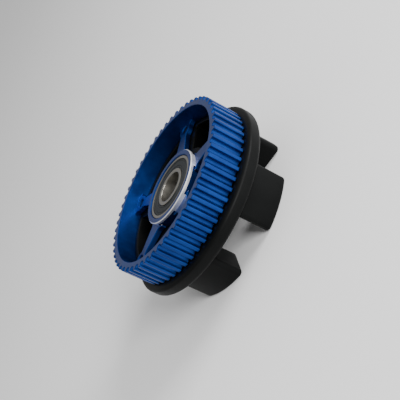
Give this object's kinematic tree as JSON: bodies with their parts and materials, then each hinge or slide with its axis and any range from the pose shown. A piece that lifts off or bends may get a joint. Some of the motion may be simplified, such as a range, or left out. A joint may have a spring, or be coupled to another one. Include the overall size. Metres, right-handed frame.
{
  "type": "toothed belt pulley with lug adapter",
  "caption": "Spoked toothed belt pulley with a sealed ball bearing in its hub, screwed to a flanged adapter whose hollow lugs key into a wheel.",
  "frame": {"origin": "on the bore's axis, in the plane of the lug ends", "axes": "+Z along the bore, towards the rim's open front; one lug points along -Y"},
  "size_m": [0.0944, 0.0944, 0.0412],
  "materials": {
    "blue_anodised_aluminium": "fine-turned and anodised blue, with the hub's collar machined bright afterwards",
    "black_moulded_nylon": "satin black, finely spark-textured mould",
    "bearing_steel": "ground",
    "seal_rubber": "matt moulded rubber",
    "cage_steel": "pressed sheet",
    "screw_steel": "black oxide",
    "washer_zinc": "bright zinc plating"
  },
  "bodies": {
    "pulley_and_adapter": {"pulley": "blue_anodised_aluminium", "drive_adapter": "black_moulded_nylon", "bearing_outer_ring": "bearing_steel", "bearing_seal_front": "seal_rubber", "bearing_seal_rear": "seal_rubber", "adapter_screw_1": "screw_steel", "adapter_screw_2": "screw_steel", "adapter_screw_3": "screw_steel", "adapter_screw_4": "screw_steel", "adapter_screw_5": "screw_steel", "adapter_washer_1": "washer_zinc", "adapter_washer_2": "washer_zinc", "adapter_washer_3": "washer_zinc", "adapter_washer_4": "washer_zinc", "adapter_washer_5": "washer_zinc"},
    "inner_ring": {"bearing_inner_ring": "bearing_steel"},
    "cage_and_balls": {"bearing_cage_front": "cage_steel", "bearing_cage_rear": "cage_steel", "bearing_ball_1": "bearing_steel", "bearing_ball_2": "bearing_steel", "bearing_ball_3": "bearing_steel", "bearing_ball_4": "bearing_steel", "bearing_ball_5": "bearing_steel", "bearing_ball_6": "bearing_steel", "bearing_ball_7": "bearing_steel", "bearing_ball_8": "bearing_steel", "bearing_ball_9": "bearing_steel", "bearing_cage_rivet_1": "cage_steel", "bearing_cage_rivet_2": "cage_steel", "bearing_cage_rivet_3": "cage_steel", "bearing_cage_rivet_4": "cage_steel", "bearing_cage_rivet_5": "cage_steel", "bearing_cage_rivet_6": "cage_steel", "bearing_cage_rivet_7": "cage_steel", "bearing_cage_rivet_8": "cage_steel", "bearing_cage_rivet_9": "cage_steel"}
  },
  "joints": [
    {"name": "bearing_spin", "type": "hinge", "parent": "pulley_and_adapter", "child": "inner_ring", "pos_m": [0, 0, 0.032], "axis": [0, 0, 1], "continuous": true},
    {"name": "cage_spin", "type": "hinge", "parent": "pulley_and_adapter", "child": "cage_and_balls", "pos_m": [0, 0, 0.032], "axis": [0, 0, 1], "continuous": true}
  ],
  "couplings": [
    {"joint": "cage_spin", "follows": "bearing_spin", "ratio": 0.39868}
  ]
}
